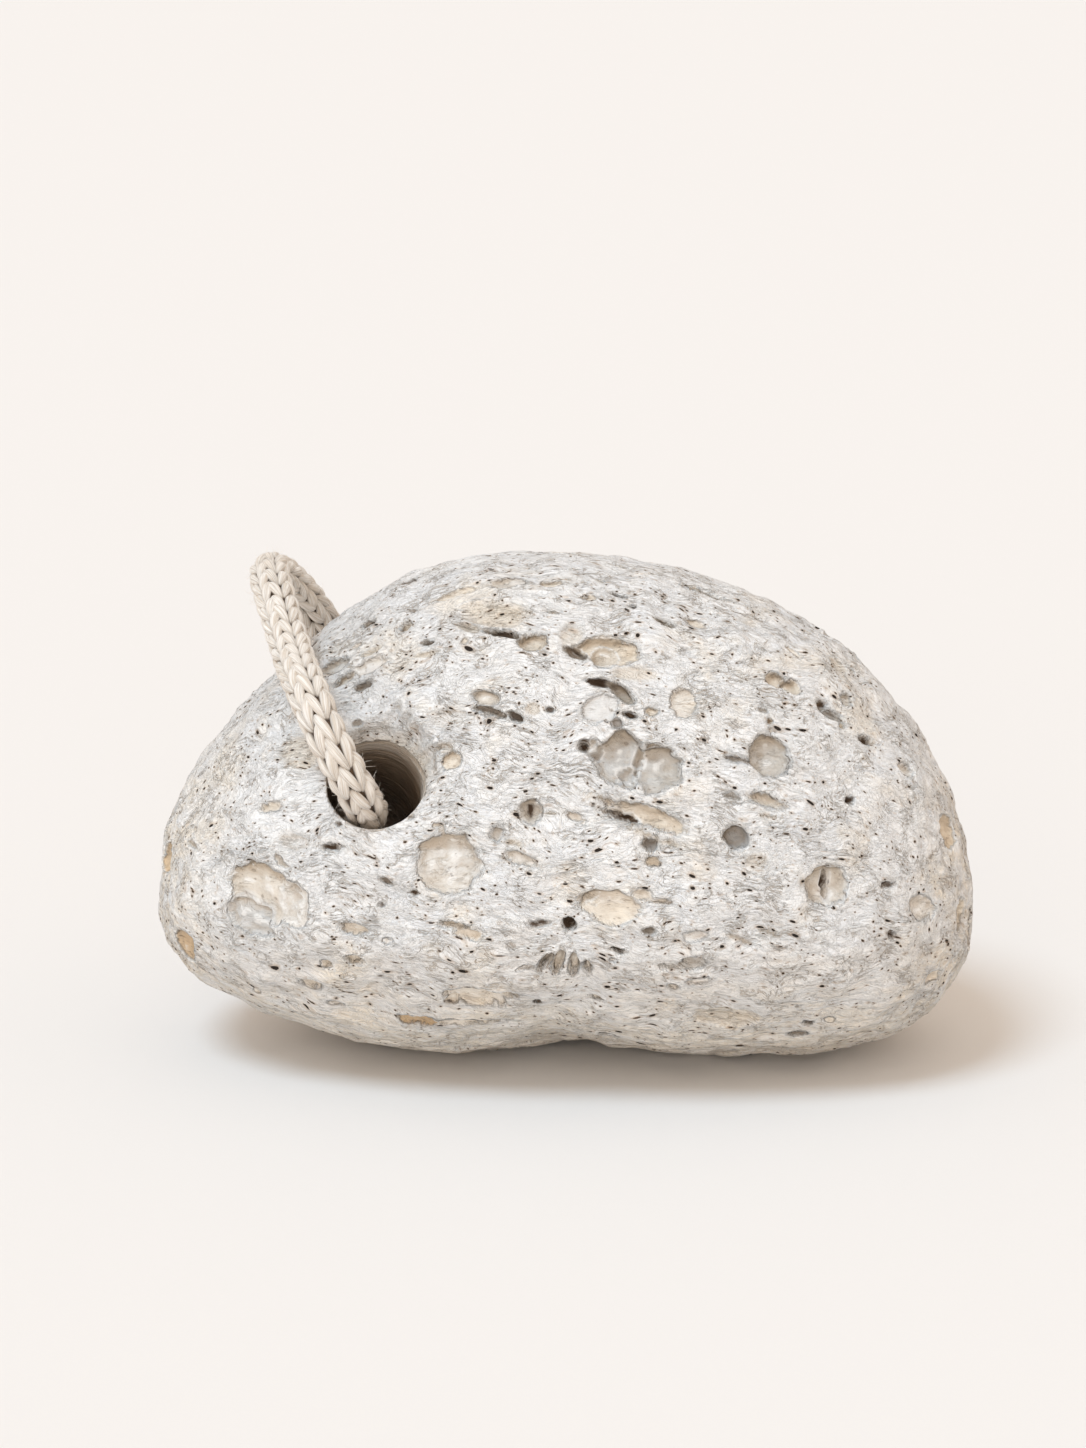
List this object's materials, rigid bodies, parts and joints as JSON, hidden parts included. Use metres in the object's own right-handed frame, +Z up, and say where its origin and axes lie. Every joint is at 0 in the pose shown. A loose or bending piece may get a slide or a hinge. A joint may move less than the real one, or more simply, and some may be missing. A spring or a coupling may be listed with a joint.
{
  "type": "pumice stone",
  "caption": "Natural pumice foot stone, longer than it is high, with a slanting drilled hole near its left end and a short hanging loop of knitted cotton cord through it.",
  "frame": {"origin": "on the ground under the middle of the stone's box", "axes": "+X along the stone towards its rounder end, away from the hole; +Y towards the back, where the hole comes out lower down; +Z up"},
  "size_m": [0.1038, 0.0655, 0.0642],
  "materials": {
    "pumice": "matt off-white pumice with bluish grey and warm beige patches, open pores, dark pinholes and slits",
    "cotton_cord": "cream tubular-knit cotton with soft fuzz"
  },
  "bodies": {
    "root": {"pumice_stone": "pumice", "cord_loop": "cotton_cord"}
  },
  "joints": []
}
